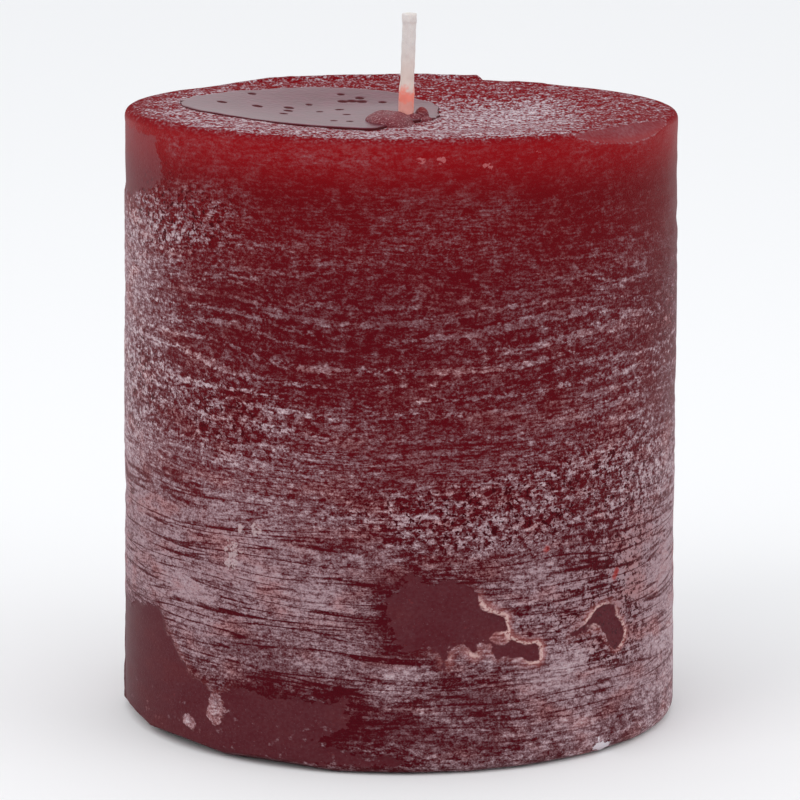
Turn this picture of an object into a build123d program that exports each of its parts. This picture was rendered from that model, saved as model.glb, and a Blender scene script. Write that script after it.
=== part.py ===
from build123d import *
import math
import os

# Rustic pillar candle, in millimetres. It stands on z = 0, its axis is Z and its front faces -Y.
# Azimuths are in degrees, 0 at the front and growing towards +X.

# Wax body
BODY_TOP_RADIUS = 35.0
BODY_BASE_RADIUS = 35.6
BODY_HEIGHT = 77.65
TOP_EDGE_RADIUS = 1.0
BASE_EDGE_RADIUS = 1.7
RIM_INNER_RADIUS = 30.0
DISH_FLOOR_RADIUS = 12.0
DISH_DEPTH = 1.6

# Inner column and the dipped coat around it
COAT_THICKNESS = 3.0
COLUMN_RADIUS = BODY_TOP_RADIUS - COAT_THICKNESS
COLUMN_HEIGHT = BODY_HEIGHT - DISH_DEPTH - COAT_THICKNESS

# Raised lip along the back of the rim
LIP_HEIGHT = 0.75
LIP_WIDTH = 1.6
LIP_FADE_RUN = 75.0
LIP_FROM_AZIMUTH = 161.5
LIP_TO_AZIMUTH = 226.0

# Flat breaks where the edges are knocked off: azimuth, depth along the top or base, depth along the wall
RIM_BREAK = (54.0, 2.3, 2.0)
BASE_BREAKS = [(-74.0, 2.4, 1.9), (-52.0, 3.0, 1.5), (-28.0, 2.6, 1.3)]
BREAK_BLOCK = 40.0

# Smooth places where the frosted skin is gone: azimuth of the centre, then the outline around it
# as (along the wall, height above the base)
SKIN_DEPTH = 0.25
BARE_PATCHES = {
    "front": (8.0, [
        (-6.8, 21.5), (-4.6, 23.6), (1.6, 23.4), (4.9, 20.6), (8.1, 19.4), (8.4, 17.6), (12.6, 13.6),
        (7.6, 14.4), (5.4, 16.6), (2.2, 16.2), (0.4, 13.8), (-3.4, 15.8), (-5.9, 17.2),
    ]),
    "front_right": (44.0, [(-4.2, 16.0), (-0.5, 18.3), (3.3, 18.7), (4.4, 15.0), (3.2, 13.0), (1.4, 15.2)]),
    "base_left": (-60.0, [
        (-13, 13.2), (-2, 16.9), (3, 14.2), (8.5, 9.3), (19, 9.1), (28, 8.4), (26.5, 4.2), (22, 2.2), (0, 1.2),
        (-12, 3.2),
    ]),
    "rim_left": (-70.0, [(-11, 75), (-1, 76), (6.5, 75), (8.6, 72.5), (2.8, 68.6), (-4, 67.6), (-11, 68.2)]),
}

# Wick, which stands a little to the right of the axis
WICK_OFFSET = 0.8
WICK_RADIUS = 0.92
WICK_LENGTH_SHOWING = 13.4
WICK_FOOT_RADIUS = 1.05
WICK_FOOT_HEIGHT = 3.0
WICK_TIP_RADIUS = 1.0
WICK_TIP_HEIGHT = 0.9
WICK_TIP_CHAMFER = 0.2
WICK_TAPER_HEIGHT = 1.0
CORE_THREAD_RADIUS = 0.35

# Sheet-metal foot of the wick, in a recess under the body
FOOT_RECESS_RADIUS = 11.0
FOOT_RECESS_DEPTH = 1.4
FOOT_DISC_RADIUS = 9.5
FOOT_DISC_THICKNESS = 0.3
FOOT_NECK_WALL = 0.3
FOOT_NECK_HEIGHT = 6.0
SEAL_BEAD_INNER_RADIUS = 8.0
SEAL_BEAD_SLOPE = 0.8
SEAL_BEAD_HEIGHT = 0.8
SEAL_BEAD_RISE = 0.2

# Later wax on the top: a thin smooth pool on the left, and the mound that seals the wick
POOL_THICKNESS = 0.2
POOL_OUTLINE = [
    (-28, 1), (-27, 8), (-23.5, 14.5), (-14.5, 21.5), (-8, 23), (-2.5, 22), (3, 17.5), (5, 11), (4.5, 0.5),
    (1.5, -3), (-1.5, -8), (-4.5, -11), (-10, -9.5), (-18, -8.5), (-24, -6),
]
MOUND_CENTRE = (-1.6, -3.2)
MOUND_SIZE = (3.0, 5.2, 1.3)
BEAD_CENTRE = (2.55, 0.7)
BEAD_SIZE = (0.95, 1.0, 1.45)
COLLAR_RADIUS = 1.9
COLLAR_HEIGHT = 1.15
COLLAR_ROOT = 0.4

TOP_AT_WICK = BODY_HEIGHT - DISH_DEPTH
WICK_TIP_Z = TOP_AT_WICK + WICK_LENGTH_SHOWING
WICK_FOOT_Z = FOOT_RECESS_DEPTH - FOOT_DISC_THICKNESS


def turned(outline):
    """A closed outline of (radius, height) edges turned about the body's axis."""
    return revolve(Plane.XZ * make_face(outline), Axis.Z)


def on_wick_axis(shape):
    """The same shape, moved from the body's axis to the wick's."""
    return Pos(WICK_OFFSET, 0, 0) * shape


def upright(radius, low, high):
    """A round bar on Z between two heights."""
    return Pos(0, 0, low) * Cylinder(radius, high - low, align=(Align.CENTER, Align.CENTER, Align.MIN))


def body_envelope():
    """The wax body as one solid: drafted wall, rounded edges and a flat-bottomed dish in the top."""
    base_edge = (BODY_BASE_RADIUS - BASE_EDGE_RADIUS, 0)
    wall_foot = (BODY_BASE_RADIUS, BASE_EDGE_RADIUS)
    wall_head = (BODY_TOP_RADIUS, BODY_HEIGHT - TOP_EDGE_RADIUS)
    rim = (BODY_TOP_RADIUS - TOP_EDGE_RADIUS, BODY_HEIGHT)
    dish_edge = (RIM_INNER_RADIUS, BODY_HEIGHT)
    dish_floor = (DISH_FLOOR_RADIUS, TOP_AT_WICK)
    dish_centre = (0, TOP_AT_WICK)
    outline = [
        Line((0, 0), base_edge),
        TangentArc([base_edge, wall_foot], tangent=(1, 0)),
        Line(wall_foot, wall_head),
        TangentArc([wall_head, rim], tangent=(0, 1)),
        Line(rim, dish_edge),
        Spline([dish_edge, dish_floor], tangents=[(-1, 0), (-1, 0)]),
        Line(dish_floor, dish_centre),
        Line(dish_centre, (0, 0)),
    ]
    return turned(outline)


def rim_lip():
    """Low ridge along the back of the rim, full height at its broken end and fading out at the other."""
    outer = BODY_TOP_RADIUS - TOP_EDGE_RADIUS
    foot = BODY_HEIGHT - TOP_EDGE_RADIUS
    section = Polyline(
        (outer - LIP_WIDTH, foot),
        (outer, foot),
        (outer, BODY_HEIGHT + LIP_HEIGHT),
        (outer - LIP_WIDTH / 2, BODY_HEIGHT + LIP_HEIGHT),
        (outer - LIP_WIDTH, BODY_HEIGHT),
        close=True,
    )
    ridge = revolve(Plane.XZ * make_face(section), Axis.Z, LIP_TO_AZIMUTH - LIP_FROM_AZIMUTH)
    ridge = Rot(0, 0, LIP_FROM_AZIMUTH - 90) * ridge
    fade = math.degrees(math.atan2(LIP_HEIGHT, LIP_FADE_RUN))
    high_end_x = BODY_TOP_RADIUS * math.sin(math.radians(LIP_FROM_AZIMUTH))
    width = 4 * BODY_BASE_RADIUS
    above = Box(width, width, BREAK_BLOCK, align=(Align.CENTER, Align.CENTER, Align.MIN))
    return ridge - Pos(high_end_x, 0, BODY_HEIGHT + LIP_HEIGHT) * Rot(0, -fade, 0) * above


def edge_break(azimuth, along, down, radius, edge_z, outward_z):
    """A large block whose flat face cuts the edge of the body, leaving a crescent."""
    tilt = math.degrees(math.atan2(along, down))
    block = Box(BREAK_BLOCK, 2 * BREAK_BLOCK, 2 * BREAK_BLOCK, align=(Align.MIN, Align.CENTER, Align.CENTER))
    cut = Pos(radius - along, 0, edge_z) * Rot(0, -outward_z * tilt, 0) * block
    return Rot(0, 0, azimuth - 90) * cut


def bare_patch(azimuth, outline):
    """Cutter for one shallow place on the wall, bounded by a smooth closed outline."""
    wall = Plane(origin=(0, 0, 0), x_dir=(1, 0, 0), z_dir=(0, -1, 0))
    face = wall * make_face(Spline(outline, periodic=True))
    reach = 2 * COAT_THICKNESS
    column = extrude(Pos(0, -(BODY_TOP_RADIUS - reach), 0) * face, 2 * reach)
    inside = Cone(BODY_BASE_RADIUS - SKIN_DEPTH, BODY_TOP_RADIUS - SKIN_DEPTH, BODY_HEIGHT,
                  align=(Align.CENTER, Align.CENTER, Align.MIN))
    return Rot(0, 0, azimuth) * column - inside


def wick_envelope():
    """The whole wick: straight, a little thicker at its waxed foot and at the cut tip."""
    swell_top = TOP_AT_WICK + WICK_FOOT_HEIGHT
    tip_low = WICK_TIP_Z - WICK_TIP_HEIGHT
    outline = Polyline(
        (0, WICK_FOOT_Z),
        (WICK_RADIUS, WICK_FOOT_Z),
        (WICK_RADIUS, TOP_AT_WICK - COAT_THICKNESS / 2),
        (WICK_FOOT_RADIUS, TOP_AT_WICK),
        (WICK_FOOT_RADIUS, swell_top - WICK_TAPER_HEIGHT),
        (WICK_RADIUS, swell_top),
        (WICK_RADIUS, tip_low - WICK_TAPER_HEIGHT),
        (WICK_TIP_RADIUS, tip_low),
        (WICK_TIP_RADIUS, WICK_TIP_Z - WICK_TIP_CHAMFER),
        (WICK_TIP_RADIUS - WICK_TIP_CHAMFER, WICK_TIP_Z),
        (0, WICK_TIP_Z),
        close=True,
    )
    return on_wick_axis(turned(outline))


def blob(centre, size):
    """A rounded lump standing on the top of the body."""
    x, y = centre
    half_x, half_y, height = size
    ball = scale(Sphere(1), by=(half_x, half_y, height))
    return Pos(x, y, TOP_AT_WICK) * ball


def make_wick_seal(envelope, wick):
    """Wax that closes the hole round the wick: a collar, the mound beside it and a small bead."""
    collar = on_wick_axis(
        Pos(0, 0, TOP_AT_WICK - COLLAR_ROOT)
        * Cone(COLLAR_RADIUS, WICK_FOOT_RADIUS, COLLAR_HEIGHT, align=(Align.CENTER, Align.CENTER, Align.MIN))
    )
    seal = collar + blob(MOUND_CENTRE, MOUND_SIZE) + blob(BEAD_CENTRE, BEAD_SIZE)
    return seal - envelope - wick


def make_top_pool(envelope, wick, wick_seal):
    """Thin smooth skin of wax on the left of the dished top."""
    outline = make_face(Spline(POOL_OUTLINE, periodic=True))
    prism = extrude(Pos(0, 0, TOP_AT_WICK - DISH_DEPTH) * outline, 3 * DISH_DEPTH)
    raised = Pos(0, 0, POOL_THICKNESS) * envelope
    return (prism & raised) - envelope - wick - wick_seal


def make_wax_column(wick):
    """Inner column of wax, bored for the wick and its metal foot."""
    column = upright(COLUMN_RADIUS, 0, COLUMN_HEIGHT)
    recess = on_wick_axis(upright(FOOT_RECESS_RADIUS, 0, FOOT_RECESS_DEPTH))
    neck_top = FOOT_RECESS_DEPTH + FOOT_NECK_HEIGHT
    neck = on_wick_axis(upright(WICK_RADIUS + FOOT_NECK_WALL, 0, neck_top))
    return column - recess - neck - wick


def make_wax_coat(envelope, wick):
    """Dipped outer coat: wall and top in one shell, with its lip, broken edges and bare places."""
    coat = envelope + rim_lip()
    azimuth, along, down = RIM_BREAK
    coat -= edge_break(azimuth, along, down, BODY_TOP_RADIUS, BODY_HEIGHT, 1)
    for azimuth, along, up in BASE_BREAKS:
        coat -= edge_break(azimuth, along, up, BODY_BASE_RADIUS, 0, -1)
    for azimuth, outline in BARE_PATCHES.values():
        coat -= bare_patch(azimuth, outline)
    return coat - upright(COLUMN_RADIUS, 0, COLUMN_HEIGHT) - wick


def make_wick_foot():
    """Pressed metal disc with a crimped neck that grips the wick."""
    neck_top = FOOT_RECESS_DEPTH + FOOT_NECK_HEIGHT
    disc = upright(FOOT_DISC_RADIUS, WICK_FOOT_Z, FOOT_RECESS_DEPTH)
    neck = upright(WICK_RADIUS + FOOT_NECK_WALL, WICK_FOOT_Z, neck_top)
    return on_wick_axis(disc + neck - upright(WICK_RADIUS, WICK_FOOT_Z, neck_top))


def make_base_seal(wick_foot):
    """Bead of wax round the edge of the metal disc that holds it in its recess."""
    top = FOOT_RECESS_DEPTH
    low = top - SEAL_BEAD_HEIGHT
    section = Polyline(
        (SEAL_BEAD_INNER_RADIUS, WICK_FOOT_Z),
        (SEAL_BEAD_INNER_RADIUS + SEAL_BEAD_SLOPE, low),
        (FOOT_RECESS_RADIUS, low - SEAL_BEAD_RISE),
        (FOOT_RECESS_RADIUS, top),
        (SEAL_BEAD_INNER_RADIUS, top),
        close=True,
    )
    return on_wick_axis(turned(section)) - wick_foot


def make_wick_thread():
    """Stiff thread in the middle of the wick, as long as the braid around it."""
    return on_wick_axis(upright(CORE_THREAD_RADIUS, WICK_FOOT_Z, WICK_TIP_Z))


def build():
    envelope = body_envelope()
    wick = wick_envelope()
    wick_thread = make_wick_thread()
    wick_foot = make_wick_foot()
    wick_seal = make_wick_seal(envelope, wick)
    return {
        "wax_column": make_wax_column(wick),
        "wax_coat": make_wax_coat(envelope, wick),
        "top_pool": make_top_pool(envelope, wick, wick_seal),
        "wick_seal": wick_seal,
        "wick_braid": wick - wick_thread,
        "wick_core_thread": wick_thread,
        "wick_foot": wick_foot,
        "base_seal": make_base_seal(wick_foot),
    }


os.makedirs("parts", exist_ok=True)
for node, shape in build().items():
    export_step(shape, f"parts/{node}.step")
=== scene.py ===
import math
from types import SimpleNamespace

import bpy
import numpy as np
from mathutils import Matrix, Vector


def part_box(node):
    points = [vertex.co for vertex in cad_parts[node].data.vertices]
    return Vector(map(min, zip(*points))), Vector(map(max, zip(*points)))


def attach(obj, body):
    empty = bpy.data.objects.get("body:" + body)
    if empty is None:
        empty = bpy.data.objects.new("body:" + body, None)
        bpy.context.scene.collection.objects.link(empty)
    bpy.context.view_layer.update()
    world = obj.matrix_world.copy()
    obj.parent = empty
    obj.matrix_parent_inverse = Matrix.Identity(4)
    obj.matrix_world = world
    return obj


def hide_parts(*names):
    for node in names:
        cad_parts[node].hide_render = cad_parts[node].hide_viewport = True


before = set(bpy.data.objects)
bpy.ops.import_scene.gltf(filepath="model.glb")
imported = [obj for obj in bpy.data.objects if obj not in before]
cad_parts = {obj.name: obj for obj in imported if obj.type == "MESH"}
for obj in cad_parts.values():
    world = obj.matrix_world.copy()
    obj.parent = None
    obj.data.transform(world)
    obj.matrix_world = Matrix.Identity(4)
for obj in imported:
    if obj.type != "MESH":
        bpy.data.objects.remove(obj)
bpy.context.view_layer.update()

# ----------------------------------------
# Sizes, in millimetres. Azimuth 0 is the front of the candle (-Y) and grows towards +X.

MM = 0.001
COAT_LOW, COAT_HIGH = (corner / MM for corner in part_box("wax_coat"))
COLUMN_HIGH = [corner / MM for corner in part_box("wax_column")][1]
BRAID_LOW, BRAID_HIGH = (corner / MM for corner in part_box("wick_braid"))
THREAD_LOW, THREAD_HIGH = (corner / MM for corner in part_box("wick_core_thread"))

LIP_HEIGHT = 0.75
BODY_HEIGHT = COAT_HIGH.z - LIP_HEIGHT
DRAFT = 0.6
BASE_RADIUS = (COAT_HIGH.x - COAT_LOW.x) / 2
TOP_RADIUS = BASE_RADIUS - DRAFT
TOP_EDGE = 1.0
BASE_EDGE = 1.7
RIM_WIDTH = 5.0
RIM_INNER = TOP_RADIUS - RIM_WIDTH
DISH_FLOOR = 12.0
DISH_DEPTH = 1.6
CAVITY_RADIUS = COLUMN_HIGH.x
CAVITY_TOP = COLUMN_HIGH.z
WICK_X = (THREAD_LOW.x + THREAD_HIGH.x) / 2
TOP_AT_WICK = BODY_HEIGHT - DISH_DEPTH
GIRTH = 2 * math.pi * TOP_RADIUS


def smoothstep(low, high, value):
    """0 below low, 1 above high and a smooth ramp between; low may be the larger one."""
    t = np.clip((value - low) / (high - low), 0, 1)
    return t * t * (3 - 2 * t)


def grown(step, value):
    """The step's amount, reached smoothly from its first value to its second."""
    start, end, amount = step
    return amount * smoothstep(start, end, value)


def dish_height(radius):
    """Height of the top surface at a distance from the axis: flat rim, then a shallow dish."""
    return BODY_HEIGHT - DISH_DEPTH * smoothstep(RIM_INNER, DISH_FLOOR, radius)


def ring_angles(columns):
    """Directions of one ring of mesh points, as a row."""
    return np.linspace(-math.pi, math.pi, columns, endpoint=False)[None, :]


# ----------------------------------------
# Random fields. Each is a sheet of smooth noise of unit spread, GIRTH wide and FIELD_HEIGHT high,
# that repeats in both directions, so it closes round the wall.

FIELD_STEP_ALONG = 0.4
FIELD_STEP_UP = 0.2
FIELD_HEIGHT = 96.0
FIELD_COLUMNS = round(GIRTH / FIELD_STEP_ALONG)
FIELD_ROWS = round(FIELD_HEIGHT / FIELD_STEP_UP)
# Keeps flat pieces, which lie round the axis, in the middle of the sheet
FLAT_SHIFT = (110, 48)

# Each field's seed, and how long and how high its features are
NOISES = {
    "wander": (1, 34, 10),
    "ripple": (2, 9, 3),
    "streaks": (3, 11, 1.0),
    "strata": (4, 8, 0.5),
    "blobs": (5, 2.6, 1.2),
    "bend": (6, 14, 3),
    "wide": (7, 16, 9),
    "ragged": (8, 2.0, 1.4),
    "blotches": (9, 5, 2.2),
    "top_wide": (11, 7, 7),
    "top_fine": (12, 1.4, 1.4),
    "upper_limit": (14, 9, 3),
    "lip": (15, 2.5, 3),
    "pool_edge": (21, 2.0, 2.0),
    "pool_swell": (22, 9, 9),
    "seal_coarse": (31, 1.6, 1.6),
    "seal_fine": (32, 0.6, 0.6),
    "wick_waxed": (41, 0.9, 0.9),
    "wick_slow": (42, 3.0, 3.0),
}


def noise_field(seed, along, up):
    """Noise whose features are about `along` mm long and `up` mm high."""
    white = np.random.default_rng(seed).standard_normal((FIELD_ROWS, FIELD_COLUMNS))
    wave_up = np.fft.fftfreq(FIELD_ROWS, FIELD_HEIGHT / FIELD_ROWS)[:, None]
    wave_along = np.fft.rfftfreq(FIELD_COLUMNS, GIRTH / FIELD_COLUMNS)[None, :]
    damping = np.exp(-2 * (np.pi * wave_up * up / 2) ** 2 - 2 * (np.pi * wave_along * along / 2) ** 2)
    smooth = np.fft.irfft2(np.fft.rfft2(white) * damping, s=white.shape)
    smooth -= smooth.mean()
    return smooth / smooth.std()


def noise_at(name, along, up):
    """The named field's values at these places, between its grid points."""
    field = noise_field(*NOISES[name])
    column = (along / GIRTH * FIELD_COLUMNS) % FIELD_COLUMNS
    row = (up / FIELD_HEIGHT * FIELD_ROWS) % FIELD_ROWS
    c0 = np.floor(column).astype(int) % FIELD_COLUMNS
    r0 = np.floor(row).astype(int) % FIELD_ROWS
    c1 = (c0 + 1) % FIELD_COLUMNS
    r1 = (r0 + 1) % FIELD_ROWS
    fc = column - np.floor(column)
    fr = row - np.floor(row)
    near = field[r0, c0] * (1 - fc) + field[r0, c1] * fc
    far = field[r1, c0] * (1 - fc) + field[r1, c1] * fc
    return near * (1 - fr) + far * fr


def flat_noise_at(name, x, y):
    """The named field's values on a flat piece, by X and Y."""
    return noise_at(name, x + FLAT_SHIFT[0], y + FLAT_SHIFT[1])


# ----------------------------------------
# Where the wax's skin is frosted, bare or torn, as (along the wall from the front, height).

# Soft zones: centre along the wall, centre height, reach along, reach up, amount
# Zones about 44 to 58 mm either side of the front lie at the sides seen from the front; part of their frost
# is painted sheen, standing for the grazing reflection there.
FROST_AND_SIDE_SHEEN_ZONES = [
    (-44, 60, 11, 12, 0.52), (-58, 44, 9, 30, 0.48), (58, 38, 9, 28, 0.44), (0, 46, 32, 4, 0.08),
    (-30, 31, 9, 3, -0.08), (40, 64, 9, 8, -0.14), (6, 59, 30, 4, -0.05), (4, 39, 20, 3, -0.05),
    (-48, 38, 14, 20, 0.34), (-52, 70, 10, 4, 0.25), (-33, 52, 7, 14, 0.10), (-28, 25, 9, 7, 0.10),
    (-12, 20, 12, 8, 0.10), (-44, 43, 8, 12, 0.08), (26, 52, 12, 14, 0.09), (36, 38, 11, 9, 0.22),
    (42, 28, 9, 10, 0.17), (48, 20, 9, 16, 0.42), (36, 9, 12, 7, 0.16), (10, 33, 16, 6, -0.02),
    (-20, 32, 12, 6, 0.14), (0, 12, 3.5, 2.0, 0.50), (18, 22, 6, 3, 0.14), (22, 13, 5, 3.5, 0.18),
    (-22, 17, 6, 3, 0.08), (24, 31, 4, 5, -0.10), (0, 20, 6, 6, -0.26), (8, 12, 7, 3, -0.10),
    (27, 14, 6, 4, 0.10), (-46, 48, 7, 8, 0.10), (33, 17, 3, 4, -0.10), (-16, 8, 14, 4, -0.24),
    (2, 5, 8, 3, -0.16), (12, 3, 10, 2, -0.10), (-36, 7, 10, 8, -0.20), (-24.2, 6.0, 2.4, 3.4, 0.62),
    (-28.4, 3.1, 2.6, 1.6, 0.58), (80, 45, 22, 18, 0.25), (-85, 42, 18, 14, 0.12),
    (-92, 14, 20, 9, 0.15), (104, 20, 22, 10, 0.10),
]
# Where bright crests run along the strata, where thin dark cuts do, and where the skin is pitted
CREST_ZONES = [
    (0, 49, 34, 9, 1.0), (-22, 56, 14, 12, 0.6), (30, 60, 14, 8, 0.5), (90, 46, 50, 14, 0.8),
    (-90, 46, 50, 14, 0.8),
]
CUT_ZONES = [
    (-30, 25, 26, 8, 1.0), (-14, 15, 18, 7, 0.65), (34, 22, 26, 7, 0.7), (24, 8, 26, 6, 0.6),
    (0, 40, 30, 4, 0.4), (90, 24, 60, 16, 0.8), (-90, 24, 60, 16, 0.8),
]
PIT_ZONES = [
    (32, 36, 20, 9, 1.0), (34, 24, 10, 6, 0.6), (-34, 66, 11, 4, 0.9), (-42, 48, 8, 16, 0.6),
    (6, 32, 20, 4, 0.8), (30, 14, 8, 6, 0.8), (4, 11, 6, 3, 0.7), (95, 50, 20, 14, 0.7),
    (-80, 62, 20, 5, 0.7),
]
# Where the skin round a bare place is torn, pale and lifted
TORN_ZONES = [
    (15.0, 18.0, 4.0, 2.6, 1.0), (18.0, 14.0, 3.0, 2.6, 1.0), (8.0, 14.6, 3.6, 1.6, 0.8),
    (10.8, 21.2, 3.0, 1.8, 0.8), (26.5, 18.0, 4.0, 2.2, 1.0), (31.5, 14.5, 2.6, 3.2, 0.9),
    (-29.0, 13.4, 5.0, 3.6, 0.42), (-24.2, 6.0, 2.6, 3.6, 0.42), (-28.4, 3.1, 2.8, 1.8, 0.42),
    (100, 33, 10, 4, 0.9),
]
# Spots of red wax on the skin
RED_SPOTS = [
    (29.6, 22.2, 0.5, 0.5, 0.8), (30.2, 22.8, 0.6, 0.4, 1.0), (18.7, 27.2, 0.6, 0.6, 0.7),
]

# Outlines of the bare places: three at the front, one under the rim and two at the back
PATCHES = [
    [
        (-1.6, 18.6), (-1.2, 20.8), (-2.2, 22.0), (0.2, 22.6), (1.4, 24.4), (3.8, 23.8), (5.4, 24.8),
        (7.2, 23.4), (9.4, 22.8), (9.8, 20.8), (13.0, 19.6), (13.3, 18.0), (14.7, 16.7), (17.7, 13.6),
        (15.4, 14.0), (12.6, 14.6), (10.4, 16.6), (9.4, 14.9), (7.4, 16.4), (6.2, 15.6), (5.4, 13.6),
        (4.4, 15.3), (1.4, 15.8), (-0.8, 16.8),
    ],
    [
        (22.8, 16.0), (24.6, 17.6), (27.6, 18.6), (30.2, 18.8), (29.6, 17.2), (31.4, 15.0),
        (30.2, 13.0), (29.0, 14.8), (26.6, 16.6),
    ],
    [
        (-52, 13.0), (-46.4, 15.3), (-38.8, 16.9), (-35.1, 16.3), (-33.8, 14.3), (-31.1, 12.6),
        (-29.1, 10.9), (-28.1, 9.3), (-23.4, 8.3), (-17.8, 9.3), (-8.4, 8.9), (-6.1, 9.3), (-6.4, 5.6),
        (-9.8, 3.6), (0.2, 1.6), (-12, 0.8), (-30, 0.8), (-46.4, 1.4), (-53, 4.0),
    ],
    [
        (-56, 75), (-44, 76), (-37, 75.3), (-34, 72.5), (-35.5, 70.3), (-40, 68.6), (-46, 67.6),
        (-56, 68),
    ],
    [(88, 30), (95, 34), (103, 33), (108, 27), (101, 23), (96, 25), (90, 24)],
    [(66, 5), (72, 9), (81, 8), (88, 4.5), (83, 1.5), (70, 1.5)],
]
# Beyond this distance a place counts as far from every outline
PATCH_REACH = 4.0
# Islands of frosted skin left in a bare place, and pale crumbs stuck to the wall
ISLANDS = [
    [(11.0, 16.6), (11.6, 17.9), (13.0, 17.6), (13.1, 16.2), (12.2, 15.7)],
    [(-25.2, 7.6), (-23.4, 8.4), (-22.8, 6.2), (-23.8, 4.2), (-25.0, 5.0)],
    [(-30.0, 3.8), (-28.4, 4.4), (-26.8, 3.0), (-28.6, 2.0)],
]
CRUMBS = [
    [(27.3, 0.3), (26.5, 1.2), (27.0, 2.1), (27.6, 1.5), (29.2, 1.4), (29.4, 0.8), (28.2, 0.2)],
    [(-22.6, 26.4), (-22.0, 27.6), (-20.8, 27.4), (-20.2, 26.4), (-21.4, 25.6)],
    [(-22.9, 25.0), (-21.6, 25.5), (-20.6, 24.8), (-21.9, 24.2)],
    [(-20.7, 29.3), (-20.3, 30.0), (-19.6, 29.6), (-20.0, 28.9)],
    [(-18.8, 29.4), (-18.2, 30.1), (-17.4, 29.5), (-18.1, 28.7)],
    [(1.8, 75.2), (2.4, 75.5), (3.2, 75.3), (2.4, 74.9)],
    [(4.0, 75.2), (4.6, 75.5), (5.4, 75.3), (4.8, 74.9)],
    [(9.9, 74.4), (10.3, 74.6), (10.8, 74.3), (10.3, 74.0)],
    [(17.0, 75.6), (17.3, 75.8), (17.6, 75.6), (17.3, 75.3)],
]


def smooth_outline(points, steps=12):
    """A closed smooth curve through the points."""
    p = np.array(points, float)
    before, after, beyond = np.roll(p, 1, 0), np.roll(p, -1, 0), np.roll(p, -2, 0)
    t = np.linspace(0, 1, steps, endpoint=False)[None, :, None]
    before, p, after, beyond = (a[:, None, :] for a in (before, p, after, beyond))
    curve = 0.5 * (
        2 * p
        + (after - before) * t
        + (2 * before - 5 * p + 4 * after - beyond) * t ** 2
        + (3 * p - before - 3 * after + beyond) * t ** 3
    )
    return curve.reshape(-1, 2)


def distance_outside(outline, x, y, reach):
    """Distance from each place to the closed outline, negative inside it; beyond reach it is just far."""
    distance = np.full(x.shape, reach)
    low, high = outline.min(0) - reach, outline.max(0) + reach
    near = (x > low[0]) & (x < high[0]) & (y > low[1]) & (y < high[1])
    px, py = x[near][:, None], y[near][:, None]
    start, end = outline, np.roll(outline, -1, 0)
    run = end - start
    t = ((px - start[:, 0]) * run[:, 0] + (py - start[:, 1]) * run[:, 1]) / (run ** 2).sum(1)
    t = np.clip(t, 0, 1)
    gap = np.hypot(px - start[:, 0] - t * run[:, 0], py - start[:, 1] - t * run[:, 1]).min(1)
    crosses = (start[:, 1] > py) != (end[:, 1] > py)
    slope = run[:, 0] / np.where(run[:, 1] == 0, 1e-9, run[:, 1])
    inside = (crosses & (px < start[:, 0] + (py - start[:, 1]) * slope)).sum(1) % 2 == 1
    distance[near] = np.minimum(np.where(inside, -gap, gap), reach)
    return distance


def nearest_gap(outlines, along, height):
    """Distance to the nearest of these closed outlines, negative inside one."""
    gap = np.full(along.shape, PATCH_REACH)
    for outline in outlines:
        gap = np.minimum(gap, distance_outside(smooth_outline(outline), along, height, PATCH_REACH))
    return gap


def soft_zones(zones, along, height):
    """Sum of soft-edged zones round the wall."""
    total = np.zeros_like(along)
    for centre_along, centre_height, reach_along, reach_up, amount in zones:
        offset = (along - centre_along + GIRTH / 2) % GIRTH - GIRTH / 2
        spread = (offset / reach_along) ** 2 + ((height - centre_height) / reach_up) ** 2
        total += amount * np.exp(-spread)
    return total


def zone_share(zones, along, height):
    """Sum of soft-edged zones, kept between 0 and 1."""
    return np.clip(soft_zones(zones, along, height), 0, 1)


# ----------------------------------------
# Meshes


def grid_mesh(name, points, wrap_rows=False):
    """A closed mesh over rows of points, each row a closed ring; the rows wrap round, or end in caps."""
    rows, columns = points.shape[:2]
    index = np.arange(rows * columns).reshape(rows, columns)
    near, far = (index, np.roll(index, -1, 0)) if wrap_rows else (index[:-1], index[1:])
    quads = np.stack([near, np.roll(near, -1, 1), np.roll(far, -1, 1), far], -1).reshape(-1, 4)
    faces = quads.tolist()
    if not wrap_rows:
        faces.append(index[0][::-1].tolist())
        faces.append(index[-1].tolist())
    mesh = bpy.data.meshes.new(name)
    mesh.from_pydata((points.reshape(-1, 3) * MM).tolist(), [], faces)
    mesh.polygons.foreach_set("use_smooth", [True] * len(mesh.polygons))
    mesh.update()
    piece = bpy.data.objects.new(name, mesh)
    bpy.context.scene.collection.objects.link(piece)
    return piece


def store(piece, **fields):
    """Keeps numbers for each point of the mesh, for its material to read."""
    for name, values in fields.items():
        attribute = piece.data.attributes.new(name, "FLOAT", "POINT")
        attribute.data.foreach_set("value", np.asarray(values, np.float32).ravel())


# The coat's mesh

WALL_STEP = 0.24
TOP_STEP = 0.4
COAT_COLUMNS = 520
TOP_EDGE_ROWS, BASE_EDGE_ROWS, INSIDE_ROWS = 9, 13, 6
HOLE_RADIUS = 0.9
# Round the hole, the mesh moves sideways with the wick
HOLE_SHIFT = (6, 1.5)
# Flat breaks of the rim and the base: azimuth, depth along the face, depth down or up the wall
RIM_BREAK = (54.0, 2.3, 2.0)
BASE_BREAKS = [(-74.0, 2.4, 1.9), (-52.0, 3.0, 1.5), (-28.0, 2.6, 1.3)]

# The lip along the back of the rim, by azimuth in degrees: a low shoulder, an abrupt start, a step
# and a long fade. Its width is how far in from the rim it starts and is full.
SHOULDER_RISE = (144, 147)
SHOULDER_FALL = (156, 152)
SHOULDER_SHARE = 0.2
LIP_RISE = (161.5, 162.4)
LIP_STEP = (185, 183, 0.14)
LIP_FALL = (230, 206)
LIP_SHARE = 0.84
LIP_BUMPS = 0.03
LIP_WIDTH = (2.5, 1.6)

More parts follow.
